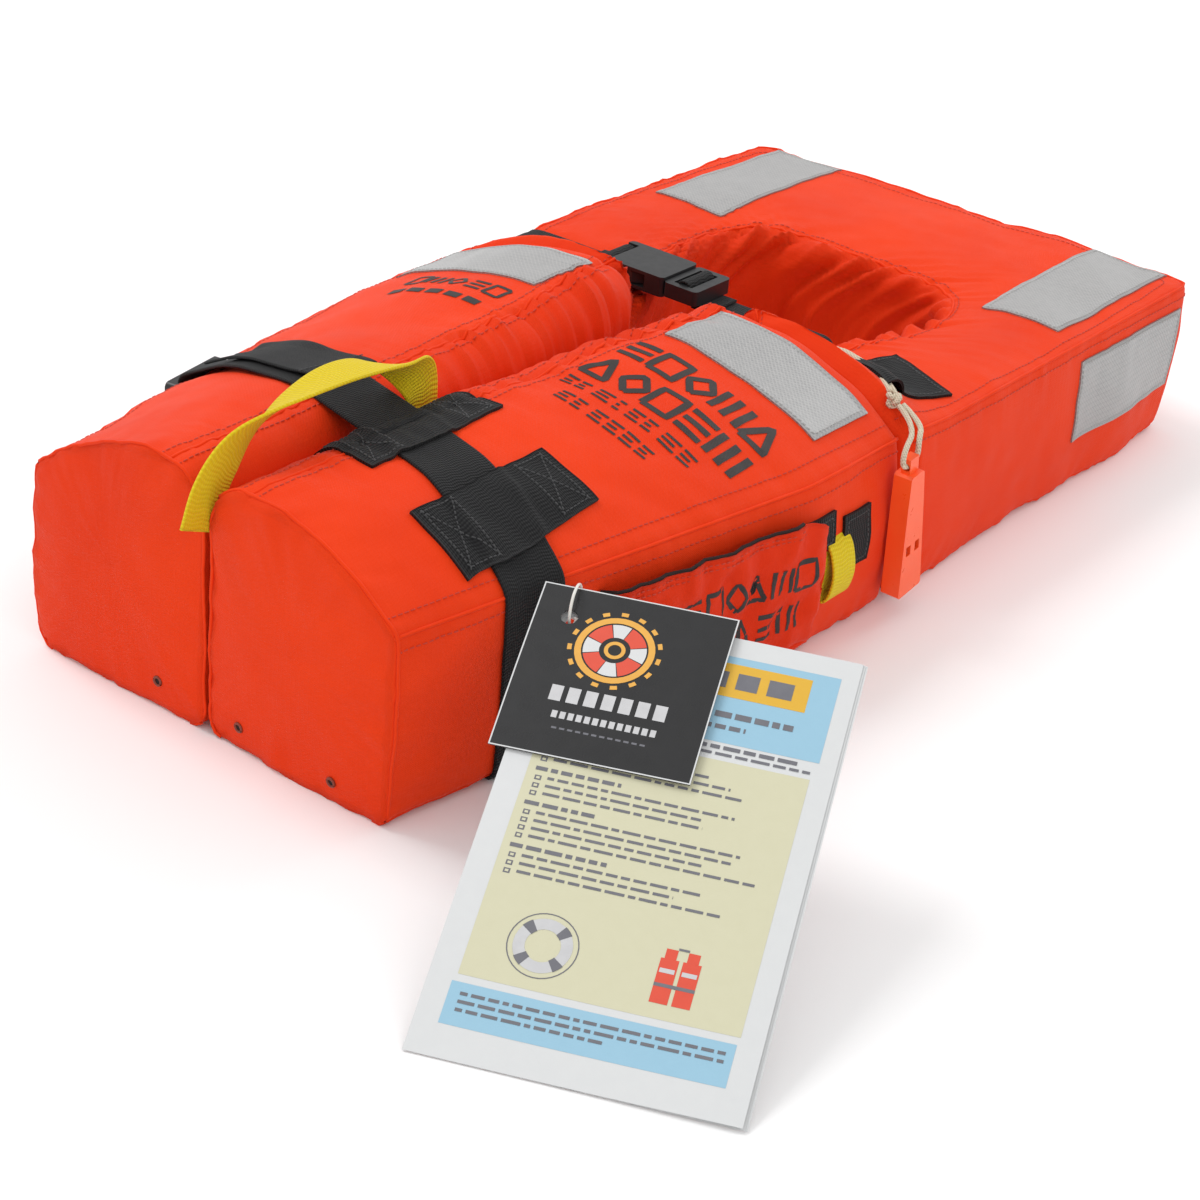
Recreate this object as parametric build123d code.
"""Adult block-foam life jacket, lying flat with its front side up.

Frame: origin on the face that the jacket rests on, under the middle of the
collar. +X is across the jacket (towards the panel with the lifting pocket),
+Y runs from the waist end to the collar end, +Z is up, out of the front.
The sizes below count Y from the middle of the jacket's length, and save()
moves each piece into the frame. Millimetres.
"""
from build123d import *
import math
import os

os.makedirs("parts", exist_ok=True)

# ---- jacket body -------------------------------------------------------
LENGTH = 684.0               # waist end to collar end
WAIST_WIDTH = 232.0          # both front panels at the waist end
PANEL_WIDTH = 318.0          # both front panels where their taper ends
SHOULDER_WIDTH = 320.0
COLLAR_WIDTH = 322.0
TAPER_END_Y = -80.0
FOLD_Y = 14.0                # line across the shoulders where the jacket folds
FOLD_GAP = 2.4               # between the front panels and the collar at the fold
EDGE_THICKNESS = 99.0        # front panels at their outer edge
SPLIT_THICKNESS = 130.0      # front panels beside the split
CROWN_RISE = 17.0            # bulge of the panel's top above the chord of its section
COLLAR_THICKNESS = 98.0
SPLIT_GAP_WAIST = 4.4
SPLIT_GAP_MIDDLE = 14.0      # where the taper of the panels ends
SPLIT_GAP_NECK = 37.0
COLLAR_CORNER_R = 12.0
SHOULDER_RISE = 5.0          # the same bulge on the collar's arms, at the fold
SHOULDER_RAMP_END_Y = 64.0   # where the collar's arms reach the collar's thickness

NECK_FRONT_WIDTH = 76.0      # neck opening at the fold
NECK_WIDTH = 154.0
NECK_WIDE_Y = 120.0          # where the neck opening is full width
NECK_BACK_Y = 206.0
NECK_FRONT_R = 60.0
NECK_BACK_R = 40.0

# ---- cloth, foam and trim ----------------------------------------------
COVER_CLOTH = 1.2
FOAM_CLEARANCE = 0.4
FOAM_SHEET = 24.0
FOAM_SHEET_GAP = 0.4
SEWN_CLEARANCE = 0.15        # under anything that is sewn on the cover
TAPE_WIDTH = 50.8
TAPE_LENGTH = 143.0
TAPE_THICKNESS = 0.6
EYELET_R = 3.0
EYELET_PROUD = 0.8
EYELETS = [(-30.0, 16.0), (24.0, 14.0), (84.0, 12.0)]   # across, up

# ---- waist belt ----------------------------------------------------------
BELT_WIDTH = 38.0
BELT_THICKNESS = 1.6
BELT_Y = -232.0              # where the belt's middle crosses the split
BELT_SKEW = -12.0            # degrees: the belt's right side lies nearer the waist end
BELT_CLEARANCE = 0.3
TAIL_SHIFT_Y = 9.0           # the loose end lies a little beside the belt
TAIL_X = (-118.0, -30.0)
KEEPER_WIDTH = 36.0          # across the jacket
KEEPER_LENGTH = 94.0         # along the jacket
KEEPER_THICKNESS = 1.5
KEEPERS = {"inner_belt_keeper": (26.0, -231.0), "outer_belt_keeper": (96.0, -244.0)}

# ---- buckles --------------------------------------------------------------
BUCKLE_WALL = 3.0
BUCKLE_THICKNESS = 12.0
BUCKLE_SKIN = 2.0
MALE_CLEARANCE = 0.6
BUCKLE_STANDOFF = 8.6        # buckle's middle above the cover
ARM_PIVOT_U = 19.8
NECK_WEBBING = 25.0
NECK_STRAP_Y = 80.0
NECK_BUCKLE_X = -62.0
NECK_STRAP_THICKNESS = 1.4
WAIST_BUCKLE_Z = 50.0

# ---- fittings on the right side -------------------------------------------
SIDE_TAPE_START_Y = 205.0
SIDE_TAPE_Z = 34.0
POCKET_Y = (-222.0, -68.0)
POCKET_Z = (8.0, 86.0)
POCKET_DEPTH = 9.0
POCKET_CLOTH = 1.2
POCKET_CORNER_R = 24.0
LINE_WEBBING = 25.0
TAB_SIZE = (50.0, 48.0)      # webbing width, length
TAB_CENTRE = (117.0, 61.0)
TAB_SKEW = -20.0
TAB_THICKNESS = 1.6
TAB_LOOP = 12.0              # length of the folded end that the lanyard runs through

# ---- whistle ---------------------------------------------------------------
LANYARD_D = 3.0
KNOT_R = 5.5
KNOT_AT = (143.0, -253.0, 111.5)     # in the frame, as the cords' routes are
WHISTLE_LENGTH = 84.0
WHISTLE_WIDTH = 22.0
WHISTLE_NECK_WIDTH = 15.0
WHISTLE_DEPTH = 11.0
WHISTLE_EYE_R = 2.3
WHISTLE_EYE_WIDTH = 8.0
WHISTLE_BORE_R = 3.6
WHISTLE_TOP = (171.5, -3.0, 92.0)
WHISTLE_LEAN = 8.0           # degrees off plumb, leaning on the cover

# Routes of the lanyard's cords in the frame: two strands from inside the tab's
# folded end, round it and over it to the knot, and the loop from the knot
# through the whistle's eye and back.
CORDS = {
    "lanyard_strand_a": [
        (93.7, -221.4, 105.5), (83.4, -217.7, 104.6), (83.4, -217.7, 110.4), (91.8, -220.8, 112.8),
        (105.9, -226.1, 113.0), (122.8, -232.1, 114.1), (140.8, -247.1, 111.9)],
    "lanyard_strand_b": [
        (92.3, -225.4, 107.1), (81.9, -221.6, 106.3), (81.9, -221.6, 112.1), (90.4, -224.7, 114.5),
        (104.6, -229.6, 114.3), (121.4, -235.9, 115.2), (138.3, -249.1, 113.2)],
    "whistle_loop": [
        (148.5, -255.9, 110.7), (164.5, -263.4, 106.5), (171.5, -285.7, 101.9), (171.5, -284.1, 91.0),
        (171.5, -269.9, 93.0), (171.5, -271.5, 104.9), (164.5, -257.6, 106.5), (149.2, -252.8, 110.6)],
}

# ---- grab strap, tag and booklet ---------------------------------------------
GRAB_WIDTH = 24.0
GRAB_THICKNESS = 1.6
TAG_SIDE = 90.0
BOOKLET = (140.0, 228.0)
CARD_THICKNESS = 0.8
BOOKLET_THICKNESS = 1.2
BOOKLET_CORNER = (144.0, -262.0, 98.0)
BOOKLET_YAW = 23.1           # degrees: the booklet's top edge, from +X
TAG_OVER_BOOKLET = 4.2
TAG_OFFSET = (-8.0, -8.0)    # tag's corner beside the booklet's, across and down
TAG_HOLE = (8.0, 9.0)
HOLE_R = 4.0
FASTENER_R = 0.7
FASTENER_RING_R = 10.0

HALF = LENGTH / 2
ORIGIN_Y = (NECK_BACK_Y + HALF) / 2
BIG = 2000.0
SKEW = math.tan(math.radians(BELT_SKEW))


def save(shape, name, shift=-ORIGIN_Y):
    """Move one node into the frame, write it and say how big it is."""
    shape = Pos(0, shift, 0) * shape
    export_step(shape, f"parts/{name}.step")
    box = shape.bounding_box()
    print(f"{name}: {shape.volume:.0f} mm3, z {box.min.Z:.2f} to {box.max.Z:.2f}")


def span(x, y, z):
    """A box from (low, high) pairs."""
    size = [high - low for low, high in (x, y, z)]
    middle = [(low + high) / 2 for low, high in (x, y, z)]
    return Pos(*middle) * Box(*size)


# ---- jacket body -------------------------------------------------------------
def half_width(y):
    """Half the width over the front panels at station y."""
    if y <= TAPER_END_Y:
        share = (y + HALF) / (TAPER_END_Y + HALF)
        return (WAIST_WIDTH + share * (PANEL_WIDTH - WAIST_WIDTH)) / 2
    share = (y - TAPER_END_Y) / (FOLD_Y - TAPER_END_Y)
    return (PANEL_WIDTH + share * (SHOULDER_WIDTH - PANEL_WIDTH)) / 2


def split_half(y):
    """Half the gap between the front panels at station y."""
    if y <= TAPER_END_Y:
        share = (y + HALF) / (TAPER_END_Y + HALF)
        return (SPLIT_GAP_WAIST + share * (SPLIT_GAP_MIDDLE - SPLIT_GAP_WAIST)) / 2
    share = (y - TAPER_END_Y) / (FOLD_Y - TAPER_END_Y)
    return (SPLIT_GAP_MIDDLE + share * (SPLIT_GAP_NECK - SPLIT_GAP_MIDDLE)) / 2


def crown(y, inner, outer, top_inner, top_outer, rise, side=1):
    """The bowed top of one section, from its inner to its outer edge."""
    run = outer - inner
    drop = top_inner - top_outer
    chord = math.hypot(run, drop)
    middle = ((inner + outer) / 2 + rise * drop / chord, (top_inner + top_outer) / 2 + rise * run / chord)
    return ThreePointArc((side * inner, y, top_inner), (side * middle[0], y, middle[1]),
                         (side * outer, y, top_outer))


def panel_wire(y, station, grow, low):
    """Section of the right front panel at y, grown by grow all round."""
    inner = split_half(station) - grow
    outer = half_width(station) + grow
    top = crown(y, inner, outer, SPLIT_THICKNESS + grow, EDGE_THICKNESS + grow, CROWN_RISE)
    sides = [Line((inner, y, low), (inner, y, SPLIT_THICKNESS + grow))]
    sides += [top, Line((outer, y, EDGE_THICKNESS + grow), (outer, y, low)), Line((outer, y, low), (inner, y, low))]
    return Wire(sides)


def stations(grow):
    """Where the panels' sections stand, and the station each takes its size from."""
    last = FOLD_Y - FOLD_GAP / 2
    return [(-HALF - grow, -HALF), (TAPER_END_Y, TAPER_END_Y), (last + grow, last)]


def panel(grow=0.0, low=None):
    """One front panel, on the right side."""
    low = -grow if low is None else low
    return Solid.make_loft([panel_wire(y, station, grow, low) for y, station in stations(grow)], True)


def wrap_wire(y, station, grow, low):
    """Section round both front panels together, closed straight over the split."""
    inner, outer = split_half(station), half_width(station) + grow
    high, edge = SPLIT_THICKNESS + grow, EDGE_THICKNESS + grow
    tops = [crown(y, inner, outer, high, edge, CROWN_RISE, side) for side in (1, -1)]
    sides = [*tops, Line((-inner, y, high), (inner, y, high)), Line((-outer, y, low), (outer, y, low))]
    sides += [Line((s * outer, y, low), (s * outer, y, edge)) for s in (1, -1)]
    return Wire(sides)


def wrap(grow, low=0.0):
    """Both front panels as one body, for what lies round them or on them."""
    return Solid.make_loft([wrap_wire(y, station, grow, low) for y, station in stations(grow)], True)


def collar_plan(grow):
    """The collar's outline from above: a U round the neck opening."""
    front = FOLD_Y + FOLD_GAP / 2 - grow
    half = COLLAR_WIDTH / 2 + grow
    back = HALF + grow
    outside = Polyline((half, front), (half, back), (-half, back), (-half, front))
    side = NECK_WIDTH / 2 - grow
    mouth = NECK_FRONT_WIDTH / 2 - grow
    route = [(mouth, front), (side, NECK_WIDE_Y), (side, NECK_BACK_Y - grow)]
    route += [(-x, y) for x, y in reversed(route)]
    radii = [NECK_FRONT_R, NECK_BACK_R - grow, NECK_BACK_R - grow, NECK_FRONT_R]
    inside = FilletPolyline(*route, radius=radii)
    ends = [Line((s * mouth, front), (s * half, front)) for s in (1, -1)]
    face = make_face([*outside.edges(), *inside.edges(), *ends])
    far = [v for v in face.vertices() if v.Y > back - 1]
    return fillet(far, COLLAR_CORNER_R + grow)


def arm_wire(y, inner, outer, top_inner, top_outer, rise, low):
    """Section of one arm of the collar."""
    top = crown(y, inner, outer, top_inner, top_outer, rise)
    return Wire([Line((inner, y, low), (inner, y, top_inner)), top,
                 Line((outer, y, top_outer), (outer, y, low)), Line((outer, y, low), (inner, y, low))])


def shoulder_ramp(grow, low):
    """Wedge on top of an arm that carries the panel's height down to the collar's."""
    front = FOLD_Y + FOLD_GAP / 2 - grow
    flat = COLLAR_THICKNESS + grow
    slope = (NECK_WIDTH - NECK_FRONT_WIDTH) / 2 / (NECK_WIDE_Y - FOLD_Y)
    inner = NECK_FRONT_WIDTH / 2 - grow
    far_inner = inner + slope * (SHOULDER_RAMP_END_Y - FOLD_Y)
    outer = COLLAR_WIDTH / 2 + grow
    high = SPLIT_THICKNESS - 6 + grow
    first = arm_wire(front, inner, outer, high, flat + 1, SHOULDER_RISE, low)
    last = arm_wire(SHOULDER_RAMP_END_Y, far_inner, outer, flat + 0.02, flat + 0.01, 0.5, low)
    return Solid.make_loft([first, last], True)


def collar(grow=0.0, low=None):
    """The collar block with its two arms."""
    low = -grow if low is None else low
    block = Pos(0, 0, low) * extrude(collar_plan(grow), COLLAR_THICKNESS + grow - low)
    ramp = shoulder_ramp(grow, COLLAR_THICKNESS / 2)
    return block + ramp + mirror(ramp, about=Plane.YZ)


def belt_slab(width, shift=0.0, x=(-BIG, BIG), z=(-BIG, BIG)):
    """Skewed slab of space along the belt's line."""
    slab = span(x, (-width / 2, width / 2), z)
    return Pos(0, BELT_Y + shift, 0) * Rot(0, 0, BELT_SKEW) * slab


def belt_channel(grow):
    """Hollow under the panels that the belt lies in."""
    depth = BELT_THICKNESS + BELT_CLEARANCE + grow
    return belt_slab(BELT_WIDTH + 2 * BELT_CLEARANCE + 2 * grow, z=(-5, depth))


def panel_body(grow):
    """Right panel with the belt's channel under it; grow is negative for what is inside."""
    return panel(grow) - belt_channel(-grow)


def left_panel_body(grow):
    """Left panel, which the belt crosses further from the waist end."""
    return mirror(panel(grow), about=Plane.YZ) - belt_channel(-grow)


def foam_sheets(core, top):
    """Cut a core into flat sheets lying on each other."""
    level = FOAM_SHEET
    while level < top:
        core = core - span((-BIG, BIG), (-BIG, BIG), (level, level + FOAM_SHEET_GAP))
        level += FOAM_SHEET
    return core


def patch(body, region, start=SEWN_CLEARANCE, thickness=TAPE_THICKNESS):
    """A flexible piece lying on a body: the skin of it that is inside a region."""
    return (body(start + thickness) - body(start)) & region


# ---- build the body -----------------------------------------------------------
INNER = -(COVER_CLOTH + FOAM_CLEARANCE)
save(panel_body(0) - panel_body(-COVER_CLOTH), "right_front_cover")
save(left_panel_body(0) - left_panel_body(-COVER_CLOTH), "left_front_cover")
save(foam_sheets(panel_body(INNER), SPLIT_THICKNESS), "right_front_foam")
save(foam_sheets(left_panel_body(INNER), SPLIT_THICKNESS), "left_front_foam")
save(collar(0) - collar(-COVER_CLOTH), "collar_cover")
save(foam_sheets(collar(INNER), COLLAR_THICKNESS + 5), "collar_foam")

ABOVE = (EDGE_THICKNESS - 6, BIG)


def top_patch(body, x, y, thickness=TAPE_THICKNESS, low=COLLAR_THICKNESS - 4):
    """A patch on the top of a body between x and y limits."""
    return patch(body, span(x, y, (low, BIG)), thickness=thickness)


def eyelets():
    """Drain eyelets in the waist end faces."""
    rings = []
    for x, z in EYELETS:
        ring = Cylinder(EYELET_R, EYELET_PROUD) - Cylinder(EYELET_R * 0.55, EYELET_PROUD * 2)
        rings.append(Pos(x, -HALF - SEWN_CLEARANCE - EYELET_PROUD / 2, z) * Rot(90, 0, 0) * ring)
    return Compound(rings)


save(eyelets(), "drain_eyelets")
FRONT_TAPE_Y = (-53.0, -53.0 + TAPE_WIDTH)
FRONT_TAPE_X = (half_width(-30) - 17 - TAPE_LENGTH + 8, half_width(-30) - 17)
save(top_patch(panel, FRONT_TAPE_X, FRONT_TAPE_Y), "right_front_tape")
save(mirror(top_patch(panel, FRONT_TAPE_X, FRONT_TAPE_Y), about=Plane.YZ), "left_front_tape")
COLLAR_TAPE_X = (95.0, 95.0 + TAPE_WIDTH)
COLLAR_TAPE_START_Y = 199.0
right_collar_tape = top_patch(collar, COLLAR_TAPE_X, (COLLAR_TAPE_START_Y, HALF - 1))
save(right_collar_tape, "right_collar_tape")
save(mirror(right_collar_tape, about=Plane.YZ), "left_collar_tape")
side_region = span((COLLAR_WIDTH / 2 - 1, BIG), (SIDE_TAPE_START_Y, HALF - COLLAR_CORNER_R - 0.5),
                   (SIDE_TAPE_Z, SIDE_TAPE_Z + TAPE_WIDTH))
side_tape = patch(collar, side_region)
save(side_tape, "right_side_tape")
save(mirror(side_tape, about=Plane.YZ), "left_side_tape")

# ---- waist belt -----------------------------------------------------------------
BELT_TOP = BELT_CLEARANCE + BELT_THICKNESS
left_wall_y = BELT_Y + 4 + SKEW * (-half_width(BELT_Y))
left_wall_x = -half_width(left_wall_y)
TAPER = math.degrees(math.atan2(half_width(TAPER_END_Y) - half_width(-HALF), TAPER_END_Y + HALF))
BUCKLE_BACK = 26.0           # female's end bar below the buckle's middle
BAR = 4.0
BAR_HALF = 3.0

belt = (wrap(BELT_TOP, 0.0) - wrap(BELT_CLEARANCE, BELT_THICKNESS)) & belt_slab(BELT_WIDTH)
cut_top = WAIST_BUCKLE_Z + 22.4 + BAR
belt_gap = span((-BIG, -90), (-BIG, BIG), (WAIST_BUCKLE_Z - BUCKLE_BACK - 2, cut_top))
save(belt - belt_gap, "waist_belt")

tail = (wrap(BELT_TOP + BELT_CLEARANCE + BELT_THICKNESS, 0) - wrap(BELT_TOP + BELT_CLEARANCE, 0))
tail = tail & belt_slab(BELT_WIDTH, TAIL_SHIFT_Y, TAIL_X, (EDGE_THICKNESS + 1, BIG))
save(tail, "waist_belt_tail")

for name, (x, y) in KEEPERS.items():
    foot = span((x - KEEPER_WIDTH / 2, x + KEEPER_WIDTH / 2), (y - KEEPER_LENGTH / 2, y + KEEPER_LENGTH / 2), ABOVE)
    over = belt_slab(BELT_WIDTH + 2 * (KEEPER_THICKNESS + 1))
    tunnel = belt_slab(BELT_WIDTH + 2)
    flat = (panel(SEWN_CLEARANCE + KEEPER_THICKNESS) - panel(SEWN_CLEARANCE)) & foot
    raised = (panel(BELT_TOP + BELT_CLEARANCE + KEEPER_THICKNESS) - panel(SEWN_CLEARANCE)) & foot & over
    save(flat + raised - (panel(BELT_TOP + BELT_CLEARANCE) & tunnel), name)


# ---- side-release buckle: u runs out of the female, v across, w out of the jacket ---
def female_shell(webbing):
    """Socket half: hollow, with side windows and a bar for the webbing."""
    half = webbing / 2 + 5
    inside = half - BUCKLE_WALL - 0.5
    body = span((-half, half), (-BUCKLE_BACK, 22), (-BUCKLE_THICKNESS / 2, BUCKLE_THICKNESS / 2))
    room = BUCKLE_THICKNESS / 2 - BUCKLE_SKIN
    body = fillet(body.edges().filter_by(Axis.Z), 3)
    body -= span((-inside, inside), (-15, 30), (-room, room))
    body -= span((-BIG, BIG), (-12, 9), (-room, room))
    wide = (-webbing / 2 - 0.6, webbing / 2 + 0.6)
    body -= span(wide, (-BUCKLE_BACK + BAR, -18), (-BIG, BIG))
    for low, high in ((-BIG, -BAR_HALF), (BAR_HALF, BIG)):
        body -= span(wide, (-BUCKLE_BACK - 1, -18), (low, high))
    return body


def male_frame(webbing):
    """Plug half: ladder bars for the webbing and a centre guide."""
    half = webbing / 2 + 5
    room = BUCKLE_THICKNESS / 2 - BUCKLE_SKIN - MALE_CLEARANCE
    body = span((-half, half), (22.4, 46), (-room - 1, room + 1))
    body = fillet(body.edges().filter_by(Axis.Z), 3)
    for start in (27, 35.5):
        body -= span((-webbing / 2 - 0.6, webbing / 2 + 0.6), (start, start + 4.2), (-BIG, BIG))
    return body + span((-1.5, 1.5), (5, 23), (-room, room))


def latch_arm(webbing, side):
    """Sprung arm with the barb that the fingers press in."""
    half = webbing / 2 + 5
    room = BUCKLE_THICKNESS / 2 - BUCKLE_SKIN - MALE_CLEARANCE
    root = half - 8
    outline = [(root - 2, ARM_PIVOT_U), (root - 2, -7), (root + 1, -9), (half - 2, -6), (half - 0.5, -1),
               (half - 0.5, 0), (root + 2, 7.3), (root + 2, ARM_PIVOT_U)]
    profile = make_face(Polyline(*outline, close=True)) + Pos(root, ARM_PIVOT_U) * Circle(2.3)
    arm = Pos(0, 0, -room) * extrude(profile, 2 * room)
    return arm if side > 0 else mirror(arm, about=Plane.YZ)


def webbing_eye(webbing, reach):
    """End of the webbing sewn back round the female's bar."""
    bar = -BUCKLE_BACK + BAR / 2
    out = BAR_HALF + 0.4 + BELT_THICKNESS
    gap = BAR / 2 + 0.4
    wide = (-webbing / 2, webbing / 2)
    ring = span(wide, (bar - gap - BELT_THICKNESS, bar + gap + 1.2), (-reach, out))
    return ring - span(wide, (bar - gap, bar + gap), (-reach + BELT_THICKNESS, out - BELT_THICKNESS))


def place_buckle(plane, webbing, name, reach):
    """Save a buckle's four pieces and the eye; print its joints."""
    at = plane.location
    save(at * female_shell(webbing), f"{name}_buckle_female")
    save(at * male_frame(webbing), f"{name}_buckle_male")
    save(at * latch_arm(webbing, 1), f"{name}_latch_a")
    save(at * latch_arm(webbing, -1), f"{name}_latch_b")
    save(at * webbing_eye(webbing, reach), f"{name}_webbing_eye")
    root = webbing / 2 + 5 - 8
    print(name, "slide axis", plane.y_dir, "hinge axis", plane.z_dir)
    for side in (1, -1):
        print(name, "arm pivot", plane.from_local_coords(Vector(side * root, ARM_PIVOT_U, 0)))


out = Vector(-math.cos(math.radians(TAPER)), -math.sin(math.radians(TAPER)), 0)
along = Vector(math.sin(math.radians(TAPER)), -math.cos(math.radians(TAPER)), 0)
foot = Vector(left_wall_x, left_wall_y, WAIST_BUCKLE_Z) + out * BUCKLE_STANDOFF
waist_plane = Plane(origin=foot, x_dir=along, z_dir=out)
place_buckle(waist_plane, BELT_WIDTH - 2, "waist", BUCKLE_STANDOFF - BELT_TOP - 0.6)

# ---- neck strap over the collar's arms ------------------------------------------------
neck_z = COLLAR_THICKNESS + BUCKLE_STANDOFF - 1
neck_plane = Plane(origin=(NECK_BUCKLE_X, NECK_STRAP_Y, neck_z), x_dir=(0, -1, 0), z_dir=(0, 0, 1))
place_buckle(neck_plane, NECK_WEBBING, "neck", BUCKLE_STANDOFF - 1 - NECK_STRAP_THICKNESS - 1.2)
strap_y = (NECK_STRAP_Y - NECK_WEBBING / 2, NECK_STRAP_Y + NECK_WEBBING / 2)
eye_x = NECK_BUCKLE_X - BUCKLE_BACK - 2
save(patch(collar, span((-BIG, eye_x + 3), strap_y, (24, BIG)), thickness=NECK_STRAP_THICKNESS), "left_neck_strap")
male_end = NECK_BUCKLE_X + 30
wall_spread = (NECK_WIDTH - NECK_FRONT_WIDTH) / 2 / (NECK_WIDE_Y - FOLD_Y)
wall_x = NECK_FRONT_WIDTH / 2 + wall_spread * (strap_y[0] - FOLD_Y)
under = neck_z - BUCKLE_THICKNESS / 2 - 0.6
bridge = span((male_end, wall_x - 6), strap_y, (under - NECK_STRAP_THICKNESS, under))
drop = span((wall_x - 6 - NECK_STRAP_THICKNESS, wall_x - 6), strap_y, (52, under))
anchor = patch(collar, span((0, NECK_WIDTH / 2 + 2), strap_y, (52, 80)), thickness=NECK_STRAP_THICKNESS)
hem = span((wall_x - 6 - NECK_STRAP_THICKNESS, wall_x + 2), strap_y, (52, 52 + NECK_STRAP_THICKNESS))
save(bridge + drop + (hem - collar(SEWN_CLEARANCE)) + anchor, "right_neck_strap")

# ---- whistle tab -------------------------------------------------------------------------
tab_frame = Pos(*TAB_CENTRE, 0) * Rot(0, 0, TAB_SKEW)
tab_height = COLLAR_THICKNESS + 20
tab = patch(collar, tab_frame * Pos(0, 0, tab_height) * Box(*TAB_SIZE, 56), thickness=TAB_THICKNESS)
loop_y = -TAB_SIZE[1] / 2 + TAB_LOOP / 2
loop_room = LANYARD_D + 1.6
loop_zone = tab_frame * Pos(0, loop_y, tab_height) * Box(TAB_SIZE[0], TAB_LOOP, 56)
tunnel = tab_frame * Pos(0, loop_y, tab_height) * Box(BIG, TAB_LOOP - 2 * TAB_THICKNESS, 56)
loop = (collar(loop_room + TAB_THICKNESS) - collar(SEWN_CLEARANCE)) & loop_zone
save(tab + loop - (collar(loop_room) & tunnel), "whistle_tab")


# ---- lanyard and whistle --------------------------------------------------------------------
def cord(name, points, share=0.45):
    """Round cord along straight runs joined by arcs as large as the runs allow."""
    vectors = [Vector(*p) for p in points]
    radii = []
    for before, here, after in zip(vectors, vectors[1:], vectors[2:]):
        turn = (here - before).get_angle(after - here)
        run = min((here - before).length, (after - here).length)
        radii.append(share * run / math.tan(math.radians(turn / 2)))
    path = FilletPolyline(*points, radius=radii) if radii else Line(*points)
    start = Plane(origin=path @ 0, z_dir=path % 0)
    solid = sweep(start * Circle(LANYARD_D / 2), path=path)
    share_of = solid.volume / (math.pi * LANYARD_D ** 2 / 4 * path.length)
    print(f"{name}: length {path.length:.1f}, volume share {share_of:.3f}, radii {[round(r, 1) for r in radii]}")
    return solid


for name, route in CORDS.items():
    save(cord(name, route), name, 0)
save(Pos(*KNOT_AT) * Sphere(KNOT_R), "lanyard_knot", 0)

whistle_frame = Pos(*WHISTLE_TOP) * Rot(WHISTLE_LEAN, 0, 0)


def whistle():
    """Pealess whistle: an eye, two air chambers side by side and a flared mouth."""
    top, waist, mouth = -4.0, -22.0, 6 - WHISTLE_LENGTH
    half_top = WHISTLE_NECK_WIDTH / 2 - 1.5
    right = [(half_top, top), (WHISTLE_NECK_WIDTH / 2, waist), (WHISTLE_WIDTH / 2, mouth)]
    left = [(-y, z) for y, z in reversed(right)]
    profile = Plane.YZ * make_face(Polyline(*right, *left, close=True))
    body = Pos(-WHISTLE_DEPTH / 2, 0, 0) * extrude(profile, WHISTLE_DEPTH, dir=(1, 0, 0))
    body = chamfer(body.edges().filter_by(Axis.X), 1.2)
    lug = Box(5.5, WHISTLE_EYE_WIDTH, 10) - Rot(90, 0, 0) * Cylinder(WHISTLE_EYE_R, 30)
    for side in (1, -1):
        bore = Pos(0, side * WHISTLE_NECK_WIDTH / 3.6, -WHISTLE_LENGTH + 30)
        body -= bore * Cylinder(WHISTLE_BORE_R - 0.6, 56)
        body -= bore * Pos(WHISTLE_DEPTH / 2, 0, 4) * Box(WHISTLE_DEPTH - 3, 4.2, 6)
    return whistle_frame * (body + lug)


save(whistle(), "whistle")

# ---- pocket with the lifting line -------------------------------------------------------------
def pocket_zone(inset=0.0):
    """Region of the right wall inside the pocket's outline, its far top corner rounded."""
    y0, y1 = POCKET_Y[0] + inset, POCKET_Y[1] - inset
    z0, z1 = POCKET_Z[0] + inset, POCKET_Z[1] - inset
    outline = Plane.YZ * make_face(Polyline((y0, z0), (y1, z0), (y1, z1), (y0, z1), close=True))
    corner = [v for v in outline.vertices() if v.Y > y1 - 1 and v.Z > z1 - 1]
    return Pos(100, 0, 0) * extrude(fillet(corner, POCKET_CORNER_R - inset), 100, dir=(1, 0, 0))


flap = (panel(POCKET_DEPTH) - panel(POCKET_DEPTH - POCKET_CLOTH)) & pocket_zone()
save(flap, "pocket_flap")
gusset = (panel(POCKET_DEPTH - POCKET_CLOTH - 0.3) - panel(SEWN_CLEARANCE)) & (pocket_zone() - pocket_zone(2.0))
mouth = span((100, 200), (POCKET_Y[1] - 26, POCKET_Y[1] + 5), (40, POCKET_Z[1] + 5))
save(gusset - mouth, "pocket_gusset")
stack = []
for layer in range(3):
    start = SEWN_CLEARANCE + 0.5 + layer * (BELT_THICKNESS + 0.4)
    level = (56 - LINE_WEBBING / 2, 56 + LINE_WEBBING / 2)
    stack.append(patch(panel, span((100, BIG), (POCKET_Y[0] + 14, POCKET_Y[1] - 30), level), start, BELT_THICKNESS))
save(Compound(stack), "lifting_line")
line_end = span((100, BIG), (POCKET_Y[1] - 28, -22), (46, 46 + LINE_WEBBING))
save(patch(panel, line_end, SEWN_CLEARANCE, BELT_THICKNESS), "lifting_anchor")
PULL_Y = -56.0
pull = [(half_width(PULL_Y) + 3.2, PULL_Y, 68), (half_width(PULL_Y) + 11, PULL_Y, 60),
        (half_width(PULL_Y) + 12.5, PULL_Y, 46), (half_width(PULL_Y) + 9, PULL_Y, 32)]


def band(points, width, thickness, across):
    """Thin band through points, its width along the vector across."""
    line = Spline(*points)
    shapes = []
    for share in (0, 0.34, 0.67, 1):
        tangent = line % share
        plane = Plane(origin=line @ share, x_dir=across, z_dir=tangent)
        shapes.append((plane * Rectangle(width, thickness)).face().outer_wire())
    return Solid.make_loft(shapes, True)


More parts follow.
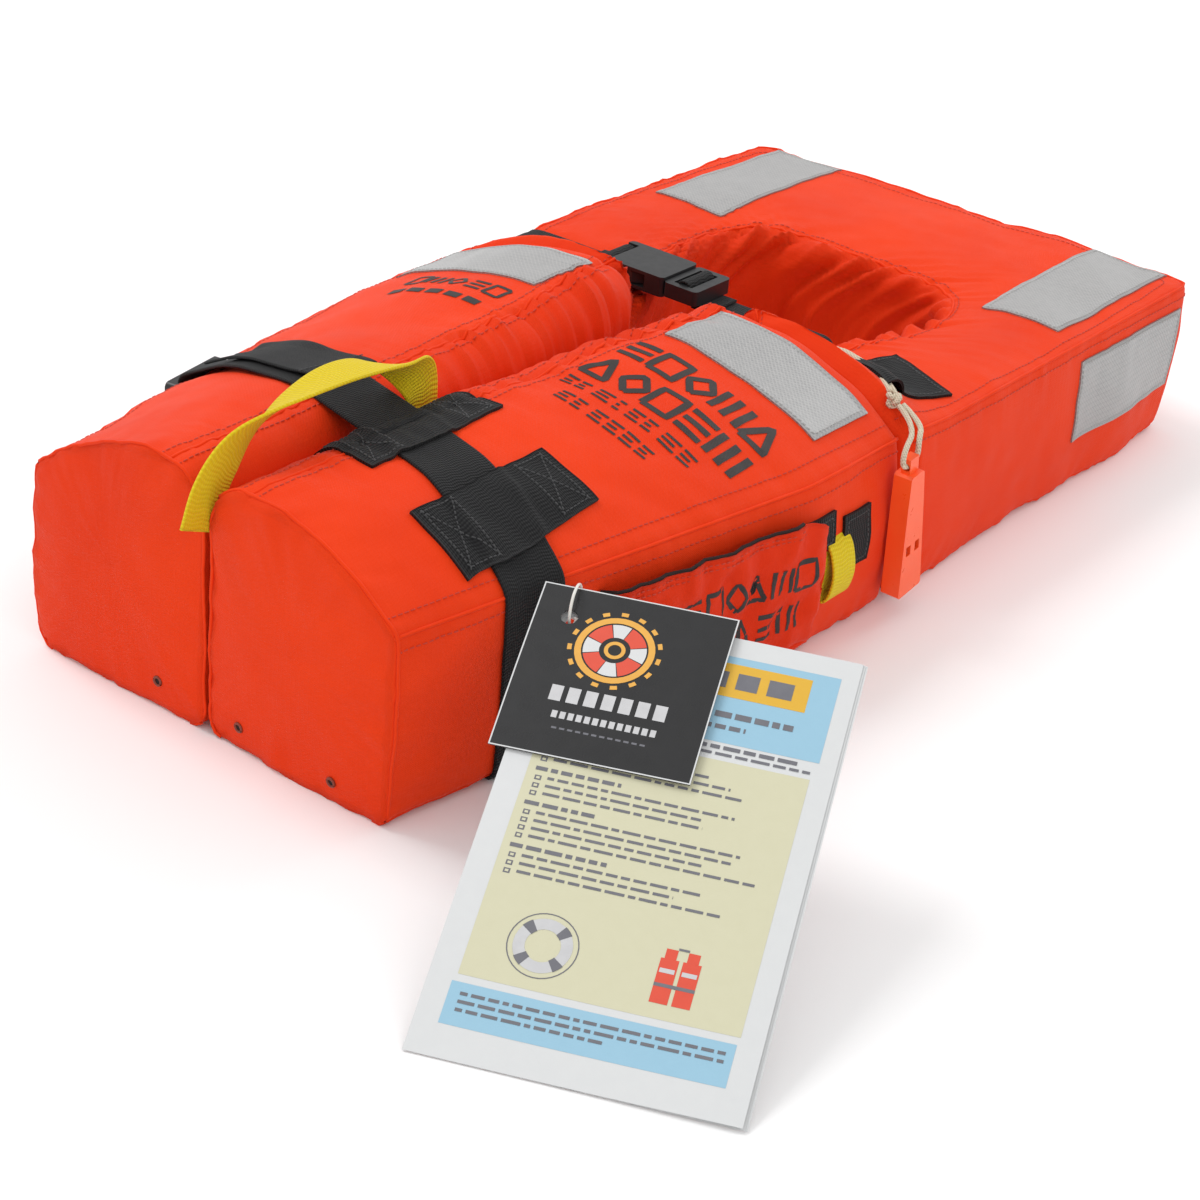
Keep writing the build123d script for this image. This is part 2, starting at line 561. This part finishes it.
save(band(pull, LINE_WEBBING - 5, GRAB_THICKNESS, (0, 1, 0)), "lifting_pull_loop")

# ---- grab strap over the split -------------------------------------------------------------------
GRAB = [  # along the jacket, up, twist from flat in degrees
    (-346, 114, 90), (-337, 130, 90), (-324, 143, 80), (-306, 152, 50), (-284, 158, 22), (-258, 161, 5),
    (-234, 159, 5), (-216, 153, 25), (-202, 146, 62), (-195, 136, 88), (-194, 122, 90)]
grab_line = [Vector(0, y, z) for y, z, _ in GRAB]
rungs = []
for index, (y, z, twist) in enumerate(GRAB):
    before = grab_line[max(0, index - 1)]
    after = grab_line[min(len(GRAB) - 1, index + 1)]
    ahead = (after - before).normalized()
    up = Vector(1, 0, 0).cross(ahead)
    across = Vector(1, 0, 0) * math.cos(math.radians(twist)) + up * math.sin(math.radians(twist))
    rungs.append((Plane(origin=(0, y, z), x_dir=across, z_dir=ahead) * Rectangle(GRAB_WIDTH, GRAB_THICKNESS)).face())
grab = Solid.make_loft([rung.outer_wire() for rung in rungs], True)
save(grab, "grab_strap")

# ---- tag, booklet and their fastener ------------------------------------------------------------------
edge = Vector(1, 0, 0).rotate(Axis.Z, BOOKLET_YAW)
slope = BOOKLET_CORNER[2] / BOOKLET[1]
fall = Vector(edge.Y, -edge.X, 0) * math.sqrt(1 - slope ** 2) + Vector(0, 0, -slope)
card_plane = Plane(origin=BOOKLET_CORNER, x_dir=edge, z_dir=edge.cross(-fall))
card = card_plane.location


def sheet(x, y, thickness, hole):
    """Flat rectangular sheet hanging from its top left corner, with a punched hole."""
    body = span((x, x + BOOKLET[0]) if thickness == BOOKLET_THICKNESS else (x, x + TAG_SIDE),
                (y - (BOOKLET[1] if thickness == BOOKLET_THICKNESS else TAG_SIDE), y), (0, thickness))
    return body - Pos(hole[0], -hole[1], 0) * Cylinder(HOLE_R, 10)


booklet = card * sheet(0, 0, BOOKLET_THICKNESS, TAG_HOLE)
booklet -= span((-BIG, BIG), (-BIG, BIG), (-BIG, 0.05))
save(booklet, "safety_booklet")
tag = card * Pos(0, 0, TAG_OVER_BOOKLET) * sheet(TAG_OFFSET[0], -TAG_OFFSET[1], CARD_THICKNESS, TAG_HOLE)
save(tag, "hang_tag")
hole_at = card_plane.from_local_coords(Vector(TAG_HOLE[0], -TAG_HOLE[1], 1.5))
print("card hinge", hole_at, "axis", edge)
print("frame is moved by", -ORIGIN_Y)
ring = Plane(origin=hole_at, x_dir=card_plane.z_dir, z_dir=edge).location
ring = ring * Pos(0, 1 - FASTENER_RING_R, 0)
tie_from = (ring * Pos(-FASTENER_RING_R, 0, 0)).position
tie_to_x = half_width(tie_from.Y) + BELT_TOP - FASTENER_R / 2
tie = Pos((tie_from.X + tie_to_x) / 2, tie_from.Y, tie_from.Z) * Rot(0, 90, 0)
tie = tie * Cylinder(FASTENER_R, tie_from.X - tie_to_x)
save(ring * Torus(FASTENER_RING_R, FASTENER_R) + tie, "tag_fastener")
